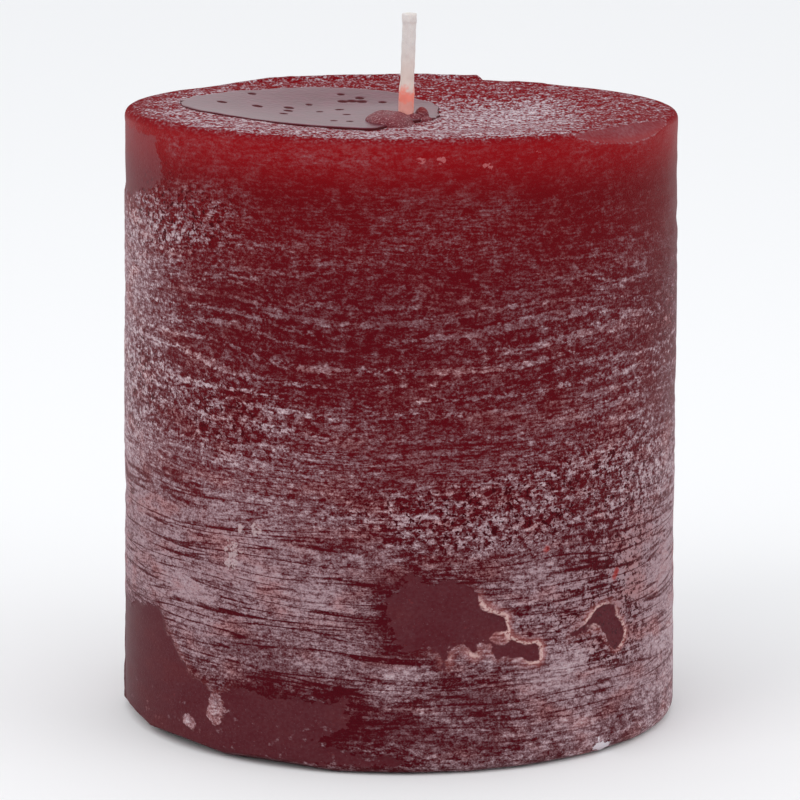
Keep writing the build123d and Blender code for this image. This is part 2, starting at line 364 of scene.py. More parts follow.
# The strata: how far they wander up and down, and how far apart their crests are
WANDER = 0.7
RIPPLE = 0.2
CREST_SPACING = 1.75
CREST_BEND = 1.5
CREST_DROP = 0.2
CREST_NOISE = 0.7

# The wall's frost, 0 for clear wax and 1 for a full pale skin. Steps: from height, to height, amount
FROST_LEAST = 0.12
UPPER_FROST = (73, 65, 0.16)
UPPER_LIMIT_WANDER = 1.2
RIM_FROST = (72, 76, 0.07)
LOWER_FROST = (48, 30, 0.21)
FOOT_FROST = (30, 20, 0.08)
BLOTCHES = (30, 20, 0.09)
NOISE_FROST = {"wide": 0.04, "streaks": 0.03, "blobs": 0.03}
PITTED_WANDER = 0.2
EDGE_FROST = 0.19
LIP_FACE_FROST = 0.20

# Relief of the wall in millimetres, outwards; the bias keeps it inside the CAD surface
RELIEF_BIAS = 0.12
NOISE_RELIEF = {"streaks": 0.025, "blobs": 0.025, "wide": 0.05}
FROST_RELIEF = (0.1, 0.6, 0.05)
CREST_RELIEF = (0.2, 1.2, 0.07)
TORN_RELIEF = 0.12
CRUMB_RELIEF = (0.15, -0.4, 0.2)
BARE_DEPTH = 0.14
BARE_SMOOTHNESS = 0.7
RAGGED_EDGE = 0.3
# The relief is weaker close under the rim
CALM_RIM = (66, 72)
CALM_SHARE = 0.6
PITTED_ON_TOP = 0.5
# Marks that only the wall has, and their value on the rest of the coat
WALL_MARKS = {"crested": 0, "bare_gap": PATCH_REACH, "crumb_gap": PATCH_REACH, "torn": 0, "red_spot": 0}

# Relief and frost of the top
TOP_RELIEF = {"wide": 0.05, "fine": 0.04}
TOP_FROST = 0.68
TOP_NOISE_FROST = {"wide": 0.04, "fine": 0.04}
TOP_FROST_LEAST = 0.34
LIP_FROST = 0.46
# Palest right of the wick: centre, reach, amount
PALE_ZONE = (12, -2, 13, 14, 0.20)
# Paler along the front inside the rim, and redder at the back, the right, the left and the rim
FRONT_FROST = (-14, -22, 0.04)
FRONT_RIM = (34.0, 32.5)
BACK_RED = (8, 25, 0.50)
RIGHT_RED = (17, 28, 0.58)
LEFT_RED = (-25, -32, 0.30)
RIM_RED = (31.5, 33.5, 0.28)


def coat_profile():
    """Section of the coat's shell as rows of (radius, height, outward radial, outward up), and parts."""
    rows, parts = [], []

    def add(part, radius, height, out, up):
        rows.append((radius, float(height), out, up))
        parts.append(part)

    for radius in np.arange(HOLE_RADIUS, TOP_RADIUS - TOP_EDGE, TOP_STEP):
        add("top", radius, dish_height(radius), 0, 1)
    for angle in np.radians(np.linspace(90, 0, TOP_EDGE_ROWS)):
        out, up = math.cos(angle), math.sin(angle)
        add("edge", TOP_RADIUS + TOP_EDGE * (out - 1), BODY_HEIGHT + TOP_EDGE * (up - 1), out, up)
    wall_low, wall_high = BASE_EDGE, BODY_HEIGHT - TOP_EDGE
    for height in np.arange(wall_high, wall_low, -WALL_STEP)[1:]:
        t = (height - wall_low) / (wall_high - wall_low)
        add("wall", BASE_RADIUS + (TOP_RADIUS - BASE_RADIUS) * t, height, 1, 0)
    for angle in np.radians(np.linspace(0, -90, BASE_EDGE_ROWS)):
        out, up = math.cos(angle), math.sin(angle)
        add("wall", BASE_RADIUS + BASE_EDGE * (out - 1), BASE_EDGE * (up + 1), out, up)
    for height in np.linspace(0, CAVITY_TOP, INSIDE_ROWS):
        add("inside", CAVITY_RADIUS, height, 0, 0)
    for radius in np.linspace(CAVITY_RADIUS, HOLE_RADIUS, INSIDE_ROWS)[1:]:
        add("inside", radius, CAVITY_TOP, 0, 0)
    return np.array(rows), np.array(parts)


def cut_by_plane(points, azimuth, along, down, radius, height, up):
    """Pushes what stands out past a slanted plane across the edge back onto it; also says how far."""
    a = math.radians(azimuth)
    out = np.array([math.sin(a), -math.cos(a), 0])
    normal = out * down + np.array([0, 0, up * along])
    normal /= np.linalg.norm(normal)
    start = out * (radius - along) + np.array([0, 0, height])
    beyond = (points - start) @ normal
    return points - np.maximum(beyond, 0)[..., None] * normal, beyond


def wall_noises(along, height):
    """The height bent along the strata, the crests of the strata and the noises that follow them."""
    level = height + WANDER * noise_at("wander", along, height) + RIPPLE * noise_at("ripple", along, height)
    phase = 2 * math.pi * level / CREST_SPACING + CREST_BEND * noise_at("bend", along, height)
    return SimpleNamespace(
        level=level,
        streaks=noise_at("streaks", along, level),
        blobs=noise_at("blobs", along, level),
        wide=noise_at("wide", along, height),
        strata=np.sin(phase) - CREST_DROP + CREST_NOISE * noise_at("strata", along, level),
    )


def weighted(weights, noises):
    return sum(weight * getattr(noises, name) for name, weight in weights.items())


def wall_frost(along, height, noises):
    """How much of the wall's skin looks frosted, 0 for clear wax and 1 for a full pale skin; at the sides
    part of it is painted sheen.
    """
    upper_limit = height + UPPER_LIMIT_WANDER * noise_at("upper_limit", along, height)
    frost = FROST_LEAST + grown(UPPER_FROST, upper_limit) + grown(RIM_FROST, height)
    frost += grown(LOWER_FROST, height) + grown(FOOT_FROST, height)
    frost += grown(BLOTCHES, height) * noise_at("blotches", along, noises.level)
    return frost + weighted(NOISE_FROST, noises) + soft_zones(FROST_AND_SIDE_SHEEN_ZONES, along, height)


def wall_bare_gap(along, height):
    """Distance to the nearest bare place, with ragged edges, negative inside one."""
    gap = np.maximum(nearest_gap(PATCHES, along, height), -nearest_gap(ISLANDS, along, height))
    return gap + RAGGED_EDGE * noise_at("ragged", along, height) * (gap < PATCH_REACH)


def wall_relief(height, noises, marks):
    """Relief of the wall in millimetres, 0 at the CAD surface and negative inside it."""
    calm = smoothstep(*CALM_RIM, height)
    relief = weighted(NOISE_RELIEF, noises) * (1 - CALM_SHARE * calm) + grown(FROST_RELIEF, marks.frost)
    relief += marks.crested * grown(CREST_RELIEF, noises.strata)
    in_patch = smoothstep(0.25, -0.25, marks.bare_gap)
    relief = relief * (1 - BARE_SMOOTHNESS * in_patch) - BARE_DEPTH * in_patch * (1 - calm)
    torn_edge = smoothstep(0.0, 0.2, marks.bare_gap) * smoothstep(0.9, 0.5, marks.bare_gap)
    relief += TORN_RELIEF * marks.torn * torn_edge
    relief += grown(CRUMB_RELIEF, marks.crumb_gap)
    return np.minimum(relief - RELIEF_BIAS, 0.0)


def lip_crest(azimuth, along):
    """Height of the lip along the back of the rim, as a share: higher up to its step, and bumpy."""
    turn = np.degrees(azimuth) % 360
    bumps = 1 - LIP_BUMPS + LIP_BUMPS * noise_at("lip", along, np.zeros_like(along))
    crest = (LIP_SHARE + grown(LIP_STEP, turn)) * smoothstep(*LIP_RISE, turn) * smoothstep(*LIP_FALL, turn)
    shoulder = smoothstep(*SHOULDER_RISE, turn) * smoothstep(*SHOULDER_FALL, turn)
    return crest * bumps + SHOULDER_SHARE * shoulder


def top_frost(x, y, radius, noises, lip):
    """Frost of the top: palest right of the wick and along the front, redder at the back and rim."""
    frost = TOP_FROST + weighted(TOP_NOISE_FROST, noises)
    pale_x, pale_y, reach_x, reach_y, amount = PALE_ZONE
    frost += amount * np.exp(-((x - pale_x) / reach_x) ** 2 - ((y - pale_y) / reach_y) ** 2)
    frost += grown(FRONT_FROST, y) * smoothstep(*FRONT_RIM, radius)
    frost -= grown(BACK_RED, y) + grown(RIGHT_RED, x) + grown(LEFT_RED, x) + grown(RIM_RED, radius)
    return np.maximum(frost, TOP_FROST_LEAST) * (1 - lip) + LIP_FROST * lip


def make_coat():
    rows, parts = coat_profile()
    shape = (len(rows), COAT_COLUMNS)
    radius, height, out, up = (np.broadcast_to(rows[:, i:i + 1], shape) for i in range(4))
    azimuth = np.broadcast_to(ring_angles(COAT_COLUMNS), shape)
    is_top = np.broadcast_to((parts == "top")[:, None], shape)
    is_inside = np.broadcast_to((parts == "inside")[:, None], shape)
    is_wall = ~is_top & ~is_inside
    along = azimuth * TOP_RADIUS
    x, y = radius * np.sin(azimuth), -radius * np.cos(azimuth)

    noises = wall_noises(along, height)
    pits = soft_zones(PIT_ZONES, along, height) + PITTED_WANDER * noises.wide
    marks = SimpleNamespace(
        frost=wall_frost(along, height, noises),
        crested=zone_share(CREST_ZONES, along, height),
        lined=zone_share(CUT_ZONES, along, height),
        pitted=np.clip(pits, 0, 1),
        bare_gap=wall_bare_gap(along, height),
        crumb_gap=nearest_gap(CRUMBS, along, height),
        torn=zone_share(TORN_ZONES, along, height),
        red_spot=zone_share(RED_SPOTS, along, height),
    )
    on_top = SimpleNamespace(wide=flat_noise_at("top_wide", x, y), fine=flat_noise_at("top_fine", x, y))
    top_relief = np.minimum(weighted(TOP_RELIEF, on_top) - RELIEF_BIAS, 0)
    relief = np.where(is_inside, 0.0, wall_relief(height, noises, marks))
    relief = np.where(is_top, top_relief, relief)

    crest = lip_crest(azimuth, along)
    ring = smoothstep(*LIP_WIDTH, TOP_RADIUS - radius)
    edge_share = np.where(is_wall & (up > 0), np.minimum(up * 1.5, 1), 0)
    lift = LIP_HEIGHT * np.minimum(crest, 1) * np.where(is_top, ring, edge_share)

    points = np.stack([
        x + WICK_X * smoothstep(*HOLE_SHIFT, radius) + relief * out * np.sin(azimuth),
        y - relief * out * np.cos(azimuth),
        height + relief * up + lift,
    ], -1)
    points, beyond_break = cut_by_plane(points, *RIM_BREAK, TOP_RADIUS, BODY_HEIGHT, 1)
    for base_break in BASE_BREAKS:
        points, _ = cut_by_plane(points, *base_break, BASE_RADIUS, 0, -1)
    points[..., 2] = np.maximum(points[..., 2], 0)

    upward = up.clip(0, 1)
    side_frost = marks.frost + (EDGE_FROST - marks.frost) * upward
    side_frost = side_frost + LIP_FACE_FROST * np.minimum(crest, 1) * upward
    frost_on_top = top_frost(x, y, radius, on_top, crest * ring)
    coat = grid_mesh("coat_skin", points[::-1], wrap_rows=True)
    fields = {
        "frost": np.where(is_top, frost_on_top, side_frost),
        "level": np.where(is_top, height, noises.level),
        "strata": np.where(is_wall, noises.strata, 0),
        "lined": np.where(is_top, 0, marks.lined),
        "pitted": np.where(is_top, PITTED_ON_TOP, marks.pitted),
        "break_gap": np.where(is_inside, PATCH_REACH, -beyond_break),
        "topside": np.where(is_top, 1.0, np.where(is_wall, upward, 0)),
    }
    for name, elsewhere in WALL_MARKS.items():
        fields[name] = np.where(is_wall, getattr(marks, name), elsewhere)
    store(coat, **{name: values[::-1] for name, values in fields.items()})
    return coat


# The smooth wax on the top

POOL_CENTRE = (-11.0, 4.0)
POOL_COLUMNS, POOL_RINGS = 360, 72
POOL_STEP = 0.2
POOL_EDGE_HEIGHT = 0.35
POOL_EDGE_WIDTH = 0.35
POOL_RAGGED_EDGE = 0.18
POOL_SWELL = 0.02
POOL_SINK = 0.03
POOL_UNDERSIDE = 0.5
POOL_OUTLINE = [
    (-28.0, 1.0), (-27.3, 8), (-23.6, 14.6), (-19, 18.5), (-14.5, 21.5), (-8, 23.2), (-2.5, 22.3),
    (1.5, 19.0), (4.6, 14.0), (4.8, 8.0), (4.4, 0.5), (1.5, -2.5), (-1.5, -8.0), (-4.4, -11.3),
    (-10, -9.6), (-17.6, -8.6), (-23.9, -6.0), (-26.8, -2.9),
]
# Small oval pits left by bubbles in the pool
PIT_SIZE = 0.5
PIT_SIZE_SPREAD = 0.1
PIT_STEP = (0.1, -0.3, 0.14)
PIT_FLATTENING = (0.85, 0.75)
POOL_PITS = [
    (-19.5, 15), (-23, 6), (-18.5, 6.5), (-14.5, 8), (-14.5, 5.5), (-15, 2.5), (-12, 11.5), (-10.5, 6),
    (-8, 19), (-5.5, 17.5), (-6.5, 15.5), (-5.2, 15.5), (-7.7, 15), (-8, 8.5), (-7, 3), (-8.5, -4),
    (-6.5, -4.5), (-2.5, 15.5),
]


def outline_radius(outline, centre, angles):
    """Distance from the centre to a closed smooth outline in each of these directions."""
    curve = smooth_outline(outline) - np.array(centre)
    heading = np.arctan2(curve[:, 1], curve[:, 0])
    order = np.argsort(heading)
    reach = np.hypot(curve[:, 0], curve[:, 1])[order]
    return np.interp(angles, heading[order], reach, period=2 * math.pi)


def fan(centre, reach, angles):
    """X and Y of points at these distances and directions from the centre."""
    return centre[0] + reach * np.cos(angles), centre[1] + reach * np.sin(angles)


def pool_pit_gap(x, y):
    """Distance to the nearest bubble pit, negative inside one."""
    gap = np.full(x.shape, PATCH_REACH)
    along_x, along_y = PIT_FLATTENING
    for i, (pit_x, pit_y) in enumerate(POOL_PITS):
        size = PIT_SIZE + PIT_SIZE_SPREAD * math.sin(7.0 * i)
        gap = np.minimum(gap, np.hypot((x - pit_x) * along_x, (y - pit_y) * along_y) - size)
    return gap


def make_pool():
    """Thin skin of smooth wax that follows the dish and ends in a small step."""
    angles = ring_angles(POOL_COLUMNS)
    reach = outline_radius(POOL_OUTLINE, POOL_CENTRE, angles)
    reach = reach + POOL_RAGGED_EDGE * noise_at("pool_edge", angles * 20, 0 * angles)
    share = np.linspace(0.001, 1, POOL_RINGS)[:, None]
    x, y = fan(POOL_CENTRE, share * reach, angles)
    inwards = (1 - share) * reach
    thickness = POOL_EDGE_HEIGHT + (1 - POOL_EDGE_HEIGHT) * smoothstep(0, POOL_EDGE_WIDTH, inwards)
    top = dish_height(np.hypot(x, y)) + POOL_STEP * thickness
    top += POOL_SWELL * flat_noise_at("pool_swell", x, y) - POOL_SINK
    pit_gap = pool_pit_gap(x, y)
    top -= grown(PIT_STEP, pit_gap)
    upper = np.stack([x, y, top], -1)
    under = upper[::-24].copy()
    under[..., 2] = dish_height(np.hypot(under[..., 0], under[..., 1])) - POOL_UNDERSIDE
    pool = grid_mesh("pool_skin", np.concatenate([upper, under])[::-1])
    # Within 0.12 mm of the pool's edge the pits' mark also applies, so the band along the small step gets
    # the pits' colour: painted shade.
    pit_gap = np.minimum(pit_gap, inwards - 0.12)
    gap = np.concatenate([pit_gap, np.full(under.shape[:2], -1.0)])
    store(pool, pit_gap=gap[::-1])
    return pool


SEAL_CENTRE = (-0.6, -2.2)
SEAL_REACH = 7.0
SEAL_COLUMNS, SEAL_RINGS = 260, 90
# The seal's surface dips this far below the dish away from its lumps
SEAL_SINK = 0.6
SEAL_RAGGED_EDGE = 0.10
SEAL_COARSE = 0.07
SEAL_FINE = 0.04
# Lumps of the seal: centre, reach along X and Y, height above the dish
SEAL_LUMPS = [
    ((-1.6, -3.2), (3.0, 5.2), 1.3),
    ((2.55, 0.7), (0.95, 1.0), 1.45),
    ((0.8, 0.0), (2.0, 2.0), 0.75),
    ((3.1, -1.2), (0.8, 0.9), 0.4),
]
BEAD_CENTRE = (2.5, 0.9)
BEAD_RADIUS = 1.0


def make_seal():
    """Wax mound that closes the hole round the wick, with a small bead on its right."""
    angles = ring_angles(SEAL_COLUMNS)
    reach = np.linspace(0.05, SEAL_REACH, SEAL_RINGS)[:, None]
    x, y = fan(SEAL_CENTRE, reach, angles)
    coarse = flat_noise_at("seal_coarse", x, y)
    fine = flat_noise_at("seal_fine", x, y)
    lump_height = np.full(x.shape, -SEAL_SINK)
    for (lump_x, lump_y), (half_x, half_y), tall in SEAL_LUMPS:
        spread = ((x - lump_x) / half_x) ** 2 + ((y - lump_y) / half_y) ** 2 + SEAL_RAGGED_EDGE * coarse
        dome = tall * np.sqrt(np.clip(1 - spread, 0, 1)) - SEAL_SINK * smoothstep(0.9, 1.4, spread)
        lump_height = np.maximum(lump_height, dome)
    above = smoothstep(-0.1, 0.3, lump_height)
    top = dish_height(np.hypot(x, y)) + lump_height + above * (SEAL_COARSE * coarse + SEAL_FINE * fine)
    upper = np.stack([x, y, top], -1)
    under = upper[-1:].copy()
    under[..., 2] = CAVITY_TOP + 1.0
    seal = grid_mesh("seal_lumps", np.concatenate([upper, under])[::-1])
    from_bead = np.hypot(x - BEAD_CENTRE[0], y - BEAD_CENTRE[1]) - BEAD_RADIUS
    store(seal, bead=np.concatenate([from_bead, np.full(under.shape[:2], PATCH_REACH)])[::-1])
    return seal


# The wick

WICK_COLUMNS = 72
WICK_ROW_STEP = 0.14
WICK_RADIUS = 0.90
WICK_STRANDS = 3
WICK_PITCH = 3.6
WICK_SHIFT = -0.25
WICK_LEAN = 0.37
# The wick is thicker just above its foot and near its tip
FOOT_SWELL = 0.13
TIP_SWELL = 0.08
# Rows near the cut tip: how far below it, and how far in from the side
TIP_ROWS = [(0.16, 0.02), (0.05, 0.09), (0, 0.22)]
RIB_DEPTH = 0.035
WAX_LUMPS = 0.012
SLOW_LUMPS = 0.018
WICK_BIAS = 0.01
# Inside the wax the wick keeps to its bore
WICK_MOST = 1.06
WICK_MOST_BURIED = 0.93


def make_wick():
    """Braided cotton set in wax: faint crossing strands, a wider foot and a blunt cut tip."""
    low, high = BRAID_LOW.z, BRAID_HIGH.z
    tip = [high - below for below, _ in TIP_ROWS]
    height = np.append(np.arange(low, tip[0], WICK_ROW_STEP), tip)[:, None]
    rounding = np.zeros(height.shape)
    rounding[-len(TIP_ROWS):, 0] = [inset for _, inset in TIP_ROWS]
    angles = ring_angles(WICK_COLUMNS)
    above = height - TOP_AT_WICK
    length = high - TOP_AT_WICK
    radius = WICK_RADIUS + FOOT_SWELL * smoothstep(5.2, 3.4, above) * smoothstep(-2, -0.5, above)
    radius = radius + TIP_SWELL * smoothstep(length - 1.6, length - 0.9, above) - rounding
    turn = 2 * math.pi * height / WICK_PITCH
    ribs = [np.abs(np.sin(WICK_STRANDS * angles / 2 + way * turn)) for way in (1, -1)]
    waxed = noise_at("wick_waxed", angles * 3 + 20, height)
    slow = noise_at("wick_slow", angles + 60, height)
    radius = radius - RIB_DEPTH * np.minimum(*ribs) + WAX_LUMPS * waxed + SLOW_LUMPS * slow - WICK_BIAS
    radius = np.minimum(radius, np.where(above > 0, WICK_MOST, WICK_MOST_BURIED))
    x = WICK_X + WICK_SHIFT + WICK_LEAN * smoothstep(0, length, above) + radius * np.cos(angles)
    y = radius * np.sin(angles)
    z = np.broadcast_to(height, x.shape) + 0.03 * waxed * smoothstep(high - 0.3, high, height)
    return grid_mesh("wick_cord", np.stack([x, y, np.minimum(z, high)], -1))


# ----------------------------------------
# Materials


def colour(red, green, blue):
    """Linear colour of a display colour given as 0 to 255."""
    values = np.array([red, green, blue]) / 255
    linear = np.where(values <= 0.04045, values / 12.92, ((values + 0.055) / 1.055) ** 2.4)
    return (*linear.tolist(), 1.0)


SOCKETS = {
    "base": "Base Color", "roughness": "Roughness", "ior": "IOR", "specular": "Specular IOR Level",
    "metallic": "Metallic", "subsurface": "Subsurface Weight", "radius": "Subsurface Radius",
    "scatter": "Subsurface Scale",
}
# The noise texture's 0 to 1 is spread to about one unit either side of 0
NOISE_SPREAD = 3.6


class Nodes:
    """Short calls that build one material's node tree."""

    def __init__(self, name):
        self.material = bpy.data.materials.new(name)
        self.material.use_nodes = True
        self.tree = self.material.node_tree
        self.tree.nodes.clear()
        self.shader = self.add("ShaderNodeBsdfPrincipled")
        output = self.add("ShaderNodeOutputMaterial")
        self.link(self.shader.outputs[0], output.inputs["Surface"])
        self.place = self.add("ShaderNodeTexCoord").outputs["Object"]
        self.axes = self.add("ShaderNodeSeparateXYZ")
        self.link(self.place, self.axes.inputs[0])

    def add(self, kind, **settings):
        node = self.tree.nodes.new(kind)
        for key, value in settings.items():
            setattr(node, key, value)
        return node

    def link(self, source, target):
        self.tree.links.new(source, target)

    def put(self, value, socket):
        """Links a socket, or sets a plain value."""
        if isinstance(value, bpy.types.NodeSocket):
            self.link(value, socket)
        else:
            socket.default_value = value

    def stored(self, name):
        return self.add("ShaderNodeAttribute", attribute_name=name).outputs["Fac"]

    def maths(self, operation, a, b=0.0, c=0.0):
        node = self.add("ShaderNodeMath", operation=operation)
        for value, socket in zip((a, b, c), node.inputs):
            self.put(value, socket)
        return node.outputs[0]

    def total(self, *terms):
        result = terms[0]
        for term in terms[1:]:
            result = self.maths("ADD", result, term)
        return result

    def times(self, *factors):
        result = factors[0]
        for factor in factors[1:]:
            result = self.maths("MULTIPLY", result, factor)
        return result

    def weighted(self, weights, noises):
        return self.total(*(self.times(getattr(noises, name), share) for name, share in weights.items()))

    def inverse(self, value):
        return self.maths("SUBTRACT", 1.0, value)

    def ramp(self, value, low, high, to_low=0.0, to_high=1.0, smooth=True):
        node = self.add("ShaderNodeMapRange")
        if smooth:
            node.interpolation_type = "SMOOTHSTEP"
        self.put(value, node.inputs["Value"])
        for key, number in (("From Min", low), ("From Max", high), ("To Min", to_low), ("To Max", to_high)):
            node.inputs[key].default_value = number
        return node.outputs[0]

    def mix(self, factor, a, b):
        node = self.add("ShaderNodeMix", data_type="RGBA")
        self.put(factor, node.inputs[0])
        self.put(a, node.inputs[6])
        self.put(b, node.inputs[7])
        return node.outputs[2]

    def spread(self, noise, to_low=0.0, to_high=1.0):
        """The usual range of a noise, turned into this range."""
        return self.ramp(noise, -1.5, 1.5, to_low, to_high)

    def shades(self, noise, dark, pale):
        return self.mix(self.spread(noise), dark, pale)

    def height_mm(self):
        return self.times(self.axes.outputs["Z"], 1 / MM)

    def noise(self, size_mm, stretch=1.0, detail=2.0, level=None, offset=0.0, deep=None):
        """Noise of about unit spread round 0. Stretch makes its features long and low, deep does so
        along Y alone, and level bends them."""
        across = 1 / (size_mm * MM * stretch)
        inwards = across if deep is None else 1 / (size_mm * MM * deep)
        join = self.add("ShaderNodeCombineXYZ")
        self.link(self.maths("MULTIPLY_ADD", self.axes.outputs["X"], across, offset), join.inputs["X"])
        self.link(self.times(self.axes.outputs["Y"], inwards), join.inputs["Y"])
        upright = self.height_mm() if level is None else level
        self.link(self.times(upright, 1 / size_mm), join.inputs["Z"])
        texture = self.add("ShaderNodeTexNoise")
        texture.inputs["Scale"].default_value = 1.0
        texture.inputs["Detail"].default_value = detail
        self.link(join.outputs[0], texture.inputs["Vector"])
        return self.ramp(texture.outputs["Fac"], 0.0, 1.0, -NOISE_SPREAD, NOISE_SPREAD, smooth=False)

    def ridges(self, noise, width):
        """1 along the lines where the noise passes through 0, falling to 0 at this distance from them."""
        return self.ramp(self.maths("ABSOLUTE", noise), width, 0.0)

    def bump(self, height, distance_mm, strength=1.0):
        node = self.add("ShaderNodeBump")
        node.inputs["Strength"].default_value = strength
        node.inputs["Distance"].default_value = distance_mm * MM
        self.link(height, node.inputs["Height"])
        self.link(node.outputs[0], self.shader.inputs["Normal"])

    def set(self, **values):
        for key, value in values.items():
            self.put(value, self.shader.inputs[SOCKETS[key]])


# Wax and its frost
COAT_LIGHT = dict(ior=1.44, specular=0.03, subsurface=0.06, radius=(1.0, 0.25, 0.2), scatter=0.5 * MM)
WAX_LIGHT = dict(ior=1.44, subsurface=0.1, scatter=0.8 * MM)
POOL_SCATTER = (1.0, 0.25, 0.2)
SEAL_SCATTER = (1.0, 0.3, 0.2)
COTTON_LIGHT = dict(ior=1.45, specular=0.3, subsurface=0.15, radius=(1.0, 0.8, 0.7), scatter=0.3 * MM)
# The upper and rim wax colours are brighter red: painted glow, standing for light that enters through the
# top and scatters out of the wall near the rim.
WAX_RIM_GLOW = colour(130, 12, 18)
WAX_UPPER = colour(94, 7, 14)
WAX_MIDDLE = colour(82, 7, 16)
WAX_LOWER = colour(70, 9, 18)
WAX_BARE = colour(76, 9, 20)
WAX_TOP = colour(108, 12, 20)
# Painted shade in the pits, darker than the wax round them
WAX_PIT_SHADE = colour(46, 3, 9)
RED_WAX = colour(150, 40, 34)
FROST = colour(150, 122, 128)
FROST_WARM = colour(152, 108, 110)
FROST_TOP = colour(162, 140, 147)
# Colour of painted highlights on the palest frost
FROST_HIGHLIGHT = colour(204, 186, 190)
CRUMB_FOOT = colour(214, 206, 212)
CRUMB_WALL = colour(176, 152, 154)
CRUMB_RIM = colour(168, 92, 94)
TORN_PALE = colour(200, 166, 162)
TORN_WARM = colour(156, 88, 84)
POOL_SHADES = (colour(86, 14, 34), colour(98, 24, 46))
# Painted shade in the pool's pits and along its edge step
POOL_PAINTED_SHADE = colour(70, 4, 12)
SEAL_SHADES = (colour(112, 44, 52), colour(170, 124, 128))
SEAL_BEAD = colour(128, 46, 46)
COLUMN_SHADES = (colour(86, 18, 26), colour(104, 40, 48))
BASE_SEAL_SHADES = (colour(96, 20, 28), colour(120, 44, 52))
# The wick, its thread and its foot
COTTON_SHADES = (colour(216, 209, 205), colour(228, 221, 217))
COTTON_WARM = colour(230, 212, 203)
COTTON_STAIN = colour(252, 128, 108)
COTTON_FOOT = colour(224, 168, 158)
THREAD_SHADES = (colour(214, 206, 190), colour(232, 226, 214))
TIN_SHADES = (colour(168, 168, 172), colour(198, 198, 200))
FLOOR_WHITE = (0.9, 0.9, 0.9, 1.0)

# The frosting as the eye sees it, 0 to 1, is turned into a share of pale skin by this power
EYE_POWER = 1.9

# How much each noise adds to the frost. On the wall some add one amount where the skin is plain and
# another where it is lined or pitted.
WALL_WEIGHTS = {"bands": 0.06, "fibres": 0.20}
BLOBS_BY_LINED = (0.16, 0.09)
CELLS_BY_PITTED = (0, 0.24)
FINE_BY_PITTED = (0.16, 0.20)
GRAIN_BY_PITTED = (0.16, 0.18)
CREST_WEIGHT = 0.42
CREST_MEAN = 0.32
CUT_WEIGHT = 0.8
CUT_MEAN = 0.25
PIT_WEIGHT = -0.8
TOP_WEIGHTS = {"deep_fine": 0.36, "deep_grain": 0.36, "mottle": 0.08}
# Noise in the painted sheen of bare places
BARE_SHEEN_WEIGHTS = {"mottle": 0.03, "fine": 0.03}
BROKEN_WEIGHTS = {"mottle": 0.06, "fine": 0.06}
BROKEN_FROST = 0.38
# Paleness of the painted highlight along the break's edges
BREAK_EDGE_HIGHLIGHT = 0.35
NEAR_BARE_FROST = -0.30


def coat_noises(n):
    """The coat's noises. Those that take the level run along the strata."""
    level = n.stored("level")
    return SimpleNamespace(
        height=n.height_mm(),
        topside=n.stored("topside"),
        bands=n.noise(1.1, stretch=8, detail=3, level=level, offset=7.0),
        cuts=n.ridges(n.noise(1.25, stretch=20, detail=1, level=level), 0.38),
        gaps=n.ramp(n.noise(2.4, stretch=4, detail=2, level=level, offset=13.0), -1.2, 0.3),
        blobs=n.noise(0.9, stretch=1.5, detail=3, level=level, offset=3.0),
        cells=n.ramp(n.noise(0.85, stretch=1.25, detail=3, offset=37.0), -0.5, 0.5, -1.0, 1.0),
        fibres=n.noise(0.32, stretch=4, detail=2, level=level, offset=9.0),
        fine=n.noise(0.36, stretch=1.2, detail=2, offset=15.0),
        grain=n.noise(0.17, stretch=1.3, detail=1, offset=11.0),
        deep_fine=n.noise(0.36, stretch=2.4, detail=2, offset=29.0, deep=2.8),
        deep_grain=n.noise(0.2, stretch=1.5, detail=1, offset=43.0, deep=4.0),
        mottle=n.noise(3.0, stretch=2.2, detail=3, offset=5.0),
        ragged=n.noise(0.7, stretch=1.3, detail=4, offset=17.0),
        dots=n.noise(0.5, stretch=1.1, detail=1, offset=21.0),
    )


def add_coat_marks(n, skin):
    """How torn, lined and pitted the skin is, and shares of bare wax, breaks, crumbs and pits, and a thin
    line along the break's edges for a painted highlight.
    """
    skin.torn = n.stored("torn")
    skin.lined = n.stored("lined")
    skin.pitted = n.stored("pitted")
    looseness = n.ramp(skin.torn, 0.1, 0.6, 0.42, 0.12)
    skin.bare_gap = n.total(n.stored("bare_gap"), n.times(skin.ragged, looseness))
    skin.bare = n.ramp(skin.bare_gap, 0.14, -0.14)
    break_gap = n.stored("break_gap")
    skin.facet = n.ramp(n.total(break_gap, n.times(skin.ragged, 0.05)), 0.06, -0.02)
    # Painted highlight: a thin pale line along the edges of the rim's flat break
    skin.chipped = n.ramp(n.maths("ABSOLUTE", break_gap), 0.16, 0.02)
    crumb = n.ramp(n.total(n.stored("crumb_gap"), n.times(skin.ragged, 0.35)), 0.1, -0.1)
    solid = n.total(n.ramp(skin.height, 12, 4), n.ramp(skin.fine, -1.2, 0.4))
    skin.crumb = n.times(crumb, solid)
    skin.pits = n.times(n.ramp(skin.dots, 0.75, 1.15), n.ramp(skin.pitted, 0.1, 0.9))


def wall_detail(n, skin):
    """What the noises, crests, cuts and pits add to the wall's frost."""
    def by_pitted(weights):
        return n.ramp(skin.pitted, 0.1, 0.9, *weights)

    crests = n.total(n.stored("strata"), n.times(skin.fine, 0.35), n.times(skin.fibres, 0.3))
    crests = n.ramp(crests, 0.3, 1.05)
    cuts = n.maths("SUBTRACT", CUT_MEAN, n.times(skin.cuts, skin.gaps))
    return n.total(
        n.weighted(WALL_WEIGHTS, skin),
        n.times(skin.blobs, n.ramp(skin.lined, 0, 1, *BLOBS_BY_LINED)),
        n.times(skin.cells, by_pitted(CELLS_BY_PITTED)),
        n.times(skin.fine, by_pitted(FINE_BY_PITTED)),
        n.times(skin.grain, by_pitted(GRAIN_BY_PITTED)),
        n.times(n.stored("crested"), n.maths("SUBTRACT", crests, CREST_MEAN), CREST_WEIGHT),
        n.times(skin.lined, cuts, CUT_WEIGHT),
        n.times(skin.pits, PIT_WEIGHT),
    )


